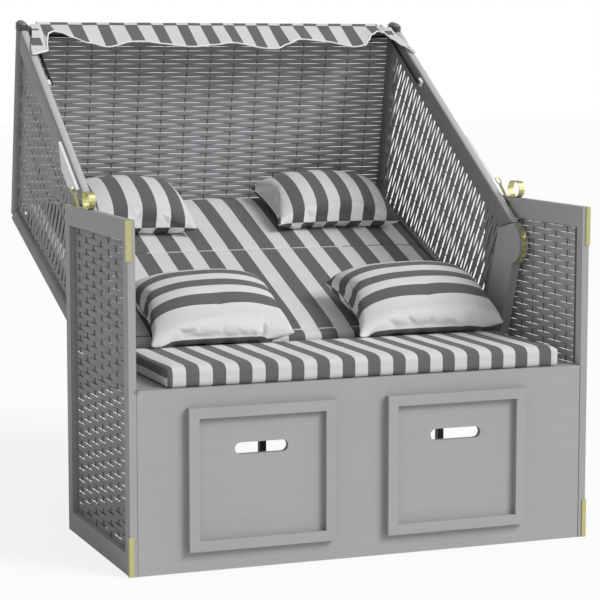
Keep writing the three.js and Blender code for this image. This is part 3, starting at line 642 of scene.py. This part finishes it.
def ring_round(name, at, lean, width, side):
    """A dark strand wound once round a rail, at a point in the hood's plane."""
    thick, long, tall, least = 0.0262, width + 0.0022, 0.022, 0.2
    ring = started("primitive_torus_add", name, major_segments=40, minor_segments=8, major_radius=0.5,
                   minor_radius=0.05)
    pick(ring, "VERT", lambda v: True)
    bpy.ops.transform.resize(value=(thick, long, tall))
    bpy.ops.object.mode_set(mode="OBJECT")
    for vertex in ring.data.vertices:
        across, along_y = vertex.co.x / (thick / 2), vertex.co.y / (long / 2)
        square = max(least, (across ** 4 + along_y ** 4) ** 0.25)
        circle = max(least, (across ** 2 + along_y ** 2) ** 0.5)
        vertex.co.x *= circle / square
        vertex.co.y *= circle / square
    put(ring, hood_place @ Matrix.Translation((side * hood_half, at.x, at.y))
        @ Matrix.Rotation(lean - math.pi / 2, 4, "X"))
    smooth(ring, 60)
    dress(ring, wrap_ring_finish)
    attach(ring, "hood")


# The shoulder's corner is cut off, and neighbouring rails keep a hair's room where they meet.
corner_cut, blunt, room, heel_cut, post_cut, knob_reach = 0.020, 0.55, 0.0003, 0.0125, 0.004, 0.024
rail_round, post_round = 0.008, 0.0105
shoulder_cut = [along(heel, shoulder, back_length - corner_cut, 0), along(shoulder, peak, corner_cut, 0)]
corner_middle = (shoulder_cut[0] + shoulder_cut[1]) / 2 * (1 - blunt) + shoulder * blunt
toe, in_heel, in_shoulder, in_peak = corners
heel_high = along(heel, shoulder, heel_cut, 0)
front_low, front_high = knob.y + knob_reach, 0.907
post_end = roof_length - post_cut
first_ring, ring_step = 0.0130, 0.0068
rails = [("_wound_back_rail", "_back_rail", rattan_back_rail, rail_round,
          [heel_high, shoulder_cut[0], corner_middle, in_shoulder - Vector((0.0002, room)), in_heel]),
         ("_wound_post", "_roof_rail", rattan_post, post_round,
          [corner_middle, shoulder_cut[1], along(shoulder, peak, post_end, 0),
           along(shoulder, peak, post_end, post_depth), in_peak, in_shoulder]),
         ("_wound_front_rail", "_front_rail", rattan_front, rail_round,
          [(hood_front, front_low + room), (toe.x, toe.y + room), (in_peak.x, in_peak.y - room),
           (hood_front, front_high)])]
for word, side in sides:
    for name, node, finish, round_size, outline in rails:
        rail_bar("hood_" + word + name, "hood_" + word + node, outline, side, finish, round_size)
    for number in range(3):
        spot = along(shoulder, peak, roof_length - first_ring - ring_step * number, post_depth / 2)
        ring_round("hood_%s_wrap_ring_%d" % (word, number + 1), spot, roof_lean, post_depth, side)

# Screw in the front panel's upper left corner
screw_at = Vector((-0.5722, frame_front, 0.4312))
screw_radius, screw_long, screw_rim, screw_hollow, screw_round = 0.0050, 0.0030, 0.0012, 0.0016, 0.0006
screw = started("primitive_cylinder_add", "front_panel_screw", vertices=32, radius=screw_radius,
                depth=screw_long, rotation=(math.pi / 2, 0, 0), location=screw_at)
pick(screw, "FACE", lambda face: face.normal.y < -0.9)
bpy.ops.mesh.inset(thickness=screw_rim)
bpy.ops.transform.translate(value=(0, screw_hollow, 0))
bpy.ops.object.mode_set(mode="OBJECT")
finish_modifier(screw, "BEVEL", width=screw_round, segments=2, limit_method="ANGLE")
smooth(screw)
# The screw is painted dark all over, as painted shade for its hollow head.
dress(screw, painted_wood("screw_painted_shade", 96))
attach(screw, "base")


# Soft goods. Each is a closed form that is remeshed, filled as cloth without gravity, and smoothed.
def filled(piece, voxel, pressure, cap, low_limit):
    """cap is how far a point may move, and low_limit tells how low it may lie at its place."""
    filling_frames = 20
    finish_modifier(piece, "REMESH", mode="VOXEL", voxel_size=voxel)
    start = [vertex.co.copy() for vertex in piece.data.vertices]
    only(piece)
    cloth = piece.modifiers.new("filling", "CLOTH")
    cloth.settings.use_pressure = True
    cloth.settings.uniform_pressure_force = pressure
    cloth.settings.effector_weights.gravity = 0
    for number in range(filling_frames):
        bpy.context.scene.frame_set(number + 1)
    bpy.ops.object.modifier_apply(modifier=cloth.name)
    bpy.context.scene.frame_set(1)
    for vertex, before in zip(piece.data.vertices, start):
        move = vertex.co - before
        if move.length > cap:
            vertex.co = before + move.normalized() * cap
        vertex.co.z = max(vertex.co.z, low_limit(vertex.co))
    finish_modifier(piece, "SUBSURF", levels=1, render_levels=1)
    smooth(piece, 60)


def pillow_form(name, width, length, crown, belly, pull, fullness, droop):
    """A sewn pillow in its own frame, its seam all round at z = 0 and its corners drawn out.
    crown and belly are its heights above and below the seam, and a larger fullness fills it nearer to
    the seam. droop is how far the front seam moves in and down where the pillow stands on it."""
    seam_half, unevenness = 0.004, 0.03
    form = started("primitive_cube_add", name, size=2)
    pick(form, "FACE", lambda face: True)
    bpy.ops.mesh.subdivide(number_cuts=27)
    bpy.ops.object.mode_set(mode="OBJECT")
    for vertex in form.data.vertices:
        u, v, w = vertex.co
        full = (max(0.0, 1 - abs(u) ** fullness[0]) * max(0.0, 1 - abs(v) ** fullness[1])) ** 0.5
        wave = 1 + unevenness * noise.noise(Vector((u * 2, v * 2, crown * 40)))
        sunk = max(0.0, -v) ** 4
        vertex.co = Vector((u * width / 2 * (1 - pull * (1 - v * v)),
                            v * length / 2 * (1 - pull * (1 - u * u)) + droop[0] * sunk,
                            w * (seam_half + (crown if w > 0 else belly) * full * wave) - droop[1] * sunk))
        ear = max(0.0, u / 0.4 - 1.5) * max(0.0, -v / 0.4 - 1.5) * droop[1]
        vertex.co += Vector((0.15, -0.2, 1.2)) * ear
    return form


def pillow(name, node, width, length, crown, belly, centre, tilt, stripe, offset, across, body, low_limit,
           fullness=(2.6, 2.6), droop=(0, 0), ends=None):
    """The filling raises the pillow by so much above and below, which its sewn form leaves out."""
    raised_above, raised_below, side_pull = 0.008, 0.004, 0.05
    voxel, pressure, cap = 0.005, 4.0, 0.012
    form = pillow_form(name, width, length, crown - raised_above, belly - raised_below, side_pull, fullness,
                       droop)
    filled(form, voxel, pressure, cap, low_limit)
    put(form, Matrix.Translation(centre) @ Matrix.Rotation(tilt, 4, "X"))
    # The pillows' faces that look to the floor are painted lighter, as painted light.
    cloth = striped_cloth(name + "_cloth", stripe, offset, (tilt, 0, 0), across, (2, 0.0, stripe), centre,
                          ends, (length / 2, droop[1]), painted_light_under=250)
    dress(form, cloth)
    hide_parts(node)
    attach(form, body)
    return form


seat_top, back_tilt = 0.4833, back_lean - recline
back_low, back_high = 0.0137, 0.0667
back_start, back_end = -0.004, 0.884
back_corner = along(heel, shoulder, back_start, back_high)
back_foot = hood_place @ Vector((0, back_corner.x, back_corner.y))
throw_tilt = math.radians(21.4)


def resting_level(centre, tilt):
    """The seat and the foot of the back cushion, seen from a pillow's own frame."""
    clear = 0.0015
    turn = Matrix.Rotation(tilt, 4, "X")

    def level(point):
        place = turn @ Vector((0, point.y, 0))
        y = centre[1] + place.y
        ground = max(seat_top, back_foot.z + (y - back_foot.y) * math.tan(back_tilt)) + clear
        return (ground - centre[2] - place.z) / math.cos(tilt)

    return level


throw_length, throw_crown, throw_belly, throw_pitch, throw_offset = 0.268, 0.086, 0.044, 0.0319, -0.0885
for word, centre_x, width in (("left", -0.262, 0.375), ("right", 0.302, 0.405)):
    centre = (centre_x, 0.137, 0.557)
    pillow(word + "_throw_cover", word + "_throw_pillow", width, throw_length, throw_crown, throw_belly,
           centre, throw_tilt, throw_pitch, throw_offset, 1, "base", resting_level(centre, throw_tilt),
           fullness=(2.8, 3.4), droop=(0.002, 0.023), ends=(throw_offset, 1.0))

head_length, head_crown, head_belly, head_low, head_seam = 0.264, 0.080, 0.030, -0.0285, 0.0670 + 0.030
for word, centre_x, up, width, pitch, offset in (("left", -0.295, 0.712, 0.36, 0.0405, 0.018),
                                                 ("right", 0.302, 0.718, 0.375, 0.0355, 0.002)):
    head_rest = along(heel, shoulder, up, head_seam)
    centre = hood_place @ Vector((centre_x, head_rest.x, head_rest.y))
    pillow(word + "_head_cover", word + "_head_pillow", width, head_length, head_crown, head_belly, centre,
           back_tilt, pitch, offset, 0, "hood", lambda point: head_low)


def pad_form(name, low, high, round_size, cuts):
    """A boxed cushion with rounded edges whose sides are drawn in between the corners."""
    pull = 0.003
    size, middle = Vector(high) - Vector(low), (Vector(high) + Vector(low)) / 2
    form = started("primitive_cube_add", name, size=1, location=middle, scale=size)
    finish_modifier(form, "BEVEL", width=round_size, segments=4, limit_method="ANGLE")
    for axis, count in enumerate(cuts):
        for cut in range(1, count):
            point = Vector(low)
            point[axis] += size[axis] * cut / count
            only(form)
            bpy.ops.object.mode_set(mode="EDIT")
            bpy.ops.mesh.select_all(action="SELECT")
            bpy.ops.mesh.bisect(plane_co=point, plane_no=[1.0 if axis == i else 0.0 for i in range(3)])
            bpy.ops.object.mode_set(mode="OBJECT")
    for vertex in form.data.vertices:
        u, v, w = (2 * (vertex.co[i] - middle[i]) / size[i] for i in range(3))
        if abs(u) > 0.9 * (1 - 2 * round_size / size.x):
            vertex.co.x -= math.copysign(pull * (1 - w * w) + pull * (1 - v * v), u)
        if abs(v) > 0.9 * (1 - 2 * round_size / size.y):
            vertex.co.y -= math.copysign(pull * (1 - w * w), v)
    return form


def piped_edge(name, points, radius):
    """A thin round cord sewn along a line of points."""
    curve = bpy.data.curves.new(name, "CURVE")
    curve.dimensions = "3D"
    spline = curve.splines.new("POLY")
    spline.points.add(len(points) - 1)
    for target, point in zip(spline.points, points):
        target.co = (*point, 1.0)
    curve.bevel_depth = radius
    curve.bevel_resolution = 1
    curve.use_fill_caps = True
    piece = bpy.data.objects.new(name, curve)
    bpy.context.collection.objects.link(piece)
    only(piece)
    bpy.ops.object.convert(target="MESH")
    outward_faces(piece)
    smooth(piece, 60)
    return piece


# Seat cushion
seat_low, seat_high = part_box("seat_cushion")
pad_clear = 0.0003
seat_round, seat_voxel, seat_pressure, seat_cap = 0.009, 0.0075, 3.0, 0.005
seat_pitch, seat_offset, striped_rim = 0.03255, -0.5151, 0.026
seat = pad_form("seat_cover", (seat_low.x - 0.001, seat_low.y + 0.001, seat_low.z),
                (seat_high.x + 0.001, seat_high.y - 0.002, seat_high.z - 0.004), seat_round, (24, 8, 2))
filled(seat, seat_voxel, seat_pressure, seat_cap, lambda point: seat_low.z + pad_clear)
# The seat's faces that look to the front are painted darker, as painted shade.
seat_cloth = striped_cloth("seat_cloth", seat_pitch, seat_offset, white_sides=seat_high.z - striped_rim,
                           white=209, front=191)
dress(seat, seat_cloth)
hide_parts("seat_cushion")
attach(seat, "base")

# Back cushion, sewn across in three panels
back_half, swell_side, swell_front = hood_inner - 0.002, 0.003, 0.007
back_round, back_voxel, back_pressure = 0.010, 0.010, 4.0
back_pitch, back_offset, line_inset = 0.04495, -0.050, 0.0120
back = pad_form("back_cover", (-back_half + swell_side, back_start + swell_side, back_low),
                (back_half - swell_side, back_end - swell_side, back_high - swell_front), back_round,
                (24, 20, 2))
filled(back, back_voxel, back_pressure, swell_front, lambda point: back_low + pad_clear)
cross_seams, seam_dip, seam_reach = (0.045, 0.510), 0.0025, 0.008
for vertex in back.data.vertices:
    if vertex.co.z > (back_low + back_high) / 2:
        for seam in cross_seams:
            vertex.co.z -= seam_dip * math.exp(-((vertex.co.y - seam) / seam_reach) ** 2)
back_place = hood_place @ Matrix.Translation((0, heel.x, heel.y)) @ Matrix.Rotation(back_lean, 4, "X")
put(back, back_place)
back_cloth = striped_cloth("back_cloth", back_pitch, back_offset, (back_tilt, 0, 0),
                           centre=back_place.to_translation(), seams=cross_seams,
                           edge_line=back_half - line_inset)
dress(back, back_cloth)
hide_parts("back_cushion")
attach(back, "hood")

# Awning: one sheet fixed behind the top rail, passing over it and hanging in front with a wavy hem
def spread(table, x):
    """A smooth curve through a table of (x, value) rows."""
    if x <= table[0][0]:
        return table[0][1]
    for (before, first), (after, second) in zip(table, table[1:]):
        if x <= after:
            share = (x - before) / (after - before)
            return first + (second - first) * share * share * (3 - 2 * share)
    return table[-1][1]


# The hem's rise, and how far to the front it hangs, along the chair's width
hem_rise = [(-0.560, 0.776), (-0.516, 0.790), (-0.505, 0.845), (-0.494, 0.878), (-0.478, 0.887),
            (-0.460, 0.881), (-0.428, 0.860), (-0.390, 0.838), (-0.338, 0.824), (-0.270, 0.841),
            (-0.230, 0.842), (-0.180, 0.835), (-0.097, 0.826), (-0.029, 0.830), (0.023, 0.837),
            (0.121, 0.818), (0.154, 0.818), (0.188, 0.833), (0.229, 0.851), (0.312, 0.846), (0.391, 0.826),
            (0.424, 0.829), (0.439, 0.851), (0.461, 0.880), (0.485, 0.895), (0.499, 0.886), (0.513, 0.852),
            (0.535, 0.818), (0.562, 0.784)]
hem_front = [(-0.560, -0.151), (-0.525, -0.151), (-0.505, -0.152), (-0.470, -0.153), (-0.390, -0.147),
             (-0.338, -0.143), (-0.250, -0.150), (-0.097, -0.143), (0.023, -0.149), (0.140, -0.142),
             (0.229, -0.152), (0.391, -0.143), (0.430, -0.148), (0.485, -0.152), (0.520, -0.153),
             (0.562, -0.151)]
sheet_left, sheet_right, sheet_thick = -0.560, 0.562, 0.0012
fold_back, fold_front, fold_top = -0.1145, -0.1415, 0.9415


def eased(value, start, finish):
    share = min(1.0, max(0.0, (value - start) / (finish - start)))
    return share * share * (3 - 2 * share)


def sheet_point(x, share):
    """share runs from 0 at the fixed edge behind the rail to 1 at the hem. Near both ends the sheet
    first lies on the rail's top, then comes forward and drops in front of the hood's front rail."""
    low, front = spread(hem_rise, x), spread(hem_front, x)
    over = 0.28
    narrow = 1 - 0.048 * eased(abs(x), 0.47, 0.56) * (1 - eased(share, over, 1.0))
    lifted, forward = eased(abs(x), 0.500, 0.517), eased(abs(x), 0.515, 0.529)
    dropped = eased(abs(x), 0.527, 0.540)
    top, fall = fold_top + 0.0008 * math.sin(x * 70), 0.012 if x < 0 else 0.022
    path = [(0.0, fold_back, 0.926), (0.08, fold_back, top - 0.003), (0.12, fold_back - 0.004, top),
            (0.24, fold_front + 0.004, top), (over, fold_front - 0.001, top - 0.004)]
    if share > over:
        part = (share - over) / 0.72
        back = path[-1][1] + (front - path[-1][1]) * eased(part, 0, 1)
        rise = path[-1][2] - fall * dropped
        back -= 0.006 * forward * (1 - eased(part, 0, 1))
        return Vector((x * narrow, back, rise + (low - rise) * part))
    for (start, b0, r0), (finish, b1, r1) in zip(path, path[1:]):
        if share <= finish:
            part = (share - start) / (finish - start)
            break
    back, rise = b0 + (b1 - b0) * part, r0 + (r1 - r0) * part
    rise += (top - 0.004 * share / over - rise) * lifted - fall * dropped
    back += (fold_front - 0.007 - back) * forward
    return Vector((x * narrow, back, rise))


# Dark stripes as (middle, half width), and dark squares of the folded ends as (middle, rise, half sizes)
stripe_rows = [(-0.4905, 0.0155), (-0.406, 0.0195), (-0.3255, 0.0175), (-0.246, 0.019), (-0.1685, 0.0175),
               (-0.0955, 0.0165), (-0.0265, 0.0165), (0.0415, 0.0155), (0.1095, 0.0165), (0.179, 0.017),
               (0.252, 0.017), (0.327, 0.018), (0.402, 0.018), (0.478, 0.0165)]
end_squares = [(-0.537, 0.838, 0.0155, 0.020), (-0.527, 0.901, 0.012, 0.0045), (-0.549, 0.925, 0.010, 0.006),
               (0.516, 0.889, 0.0135, 0.012), (0.537, 0.805, 0.015, 0.010), (0.524, 0.932, 0.010, 0.006)]


def ink_at(x, rise=None):
    """How far a point lies inside the nearest dark stripe or square."""
    if rise is None or abs(x) < 0.506:
        return max(half - abs(x - middle) for middle, half in stripe_rows)
    return max(min(wide - abs(x - middle), tall - abs(rise - height))
               for middle, height, wide, tall in end_squares)


def cloth_sheet(name, across, along_it, place_of, ink_of):
    """A sheet whose points come from their shares across and along it, with its dark places marked."""
    sheet = started("primitive_grid_add", name, x_subdivisions=across, y_subdivisions=along_it, size=2)
    for vertex in sheet.data.vertices:
        vertex.co = place_of((vertex.co.x + 1) / 2, (vertex.co.y + 1) / 2)
    layer = sheet.data.attributes.new("ink", "FLOAT", "POINT")
    layer.data.foreach_set("value", [ink_of(vertex.co) for vertex in sheet.data.vertices])
    finish_modifier(sheet, "SOLIDIFY", thickness=sheet_thick, offset=0.0)
    put(sheet, hood_place)
    smooth(sheet, 60)
    return sheet


def fold_point(u, v):
    """The narrow strip that shows along the top rail, where the folded sheet turns its stripes round."""
    face, bow, foot, tall, ripple = -0.1440, 0.0012, 0.9345, 0.0108, 0.0006
    x = fold_left + fold_length * u
    return Vector((x, face - bow * math.sin(math.pi * v), foot + tall * v + ripple * math.sin(x * 53)))


awning_pitch, awning_white, fold_left, fold_length = 0.0373, 193, -0.515, 1.013
sheet_width = sheet_right - sheet_left
awning = cloth_sheet("awning", 280, 64, lambda u, v: sheet_point(sheet_left + sheet_width * u, v),
                     lambda point: ink_at(point.x, point.z))
steps, cord_radius = 220, 0.0024
hem_line = [sheet_point(sheet_left + sheet_width * step / steps, 1.0) for step in range(steps + 1)]
hem = piped_edge("awning_hem", [hood_place @ point for point in hem_line], cord_radius)
awning_cloth = striped_cloth("awning_cloth", awning_pitch, ink="ink", white=awning_white)
fold = cloth_sheet("awning_fold", 150, 4, fold_point, lambda point: -ink_at(point.x))
dress(fold, striped_cloth("fold_cloth", awning_pitch, ink="ink", white=awning_white))
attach(fold, "hood")
dress(awning, awning_cloth)
dress(hem, plain_cloth("hem_tape", 226))
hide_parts("shade_sheet")
for piece in (awning, hem):
    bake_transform(piece)

# Light, floor and background
world = bpy.data.worlds.new("studio")
bpy.context.scene.world = world
world.use_nodes = True
sky = world.node_tree
background = sky.nodes["Background"]
rays = sky.nodes.new("ShaderNodeLightPath")
white = sky.nodes.new("ShaderNodeBackground")
white.inputs["Color"].default_value = (1, 1, 1, 1)
background.inputs["Color"].default_value = (1, 1, 1, 1)
sky_strength, sun_strength, sun_spread, floor_glow = 0.52, 2.5, math.radians(28), 0.82
background.inputs["Strength"].default_value = sky_strength
seen = sky.nodes.new("ShaderNodeMath")
seen.operation = "MAXIMUM"
chosen = sky.nodes.new("ShaderNodeMixShader")
sky.links.new(rays.outputs["Is Camera Ray"], seen.inputs[0])
sky.links.new(rays.outputs["Is Transmission Ray"], seen.inputs[1])
sky.links.new(seen.outputs[0], chosen.inputs[0])
sky.links.new(background.outputs[0], chosen.inputs[1])
sky.links.new(white.outputs[0], chosen.inputs[2])
sky.links.new(chosen.outputs[0], sky.nodes["World Output"].inputs["Surface"])

bpy.ops.object.light_add(type="SUN", location=(3, -4, 5))
key = bpy.context.object
key.rotation_euler = Vector((0.50, -0.62, 0.60)).to_track_quat("Z", "Y").to_euler()
key.data.energy = sun_strength
key.data.angle = sun_spread

floor = started("primitive_plane_add", "floor", size=60, location=(0, 0, -0.001))
floor_paint = Paint("pale_floor")
floor_paint.feed(Base_Color=(0.86, 0.86, 0.86, 1), Roughness=0.95, Specular_IOR_Level=0.0)
glow = floor_paint.node("ShaderNodeEmission", {}, {"Color": (1, 1, 1, 1)})
glow_share = floor_paint.node("ShaderNodeLightPath", {}, {}, "Is Camera Ray") * floor_glow
lit = Wire(floor_paint, floor_paint.shader.outputs[0])
blend = floor_paint.node("ShaderNodeMixShader", {}, {0: glow_share, 1: lit, 2: glow})
floor_paint.tree.links.new(blend.socket, floor_paint.tree.nodes["Material Output"].inputs["Surface"])
floor.data.materials.append(floor_paint.material)
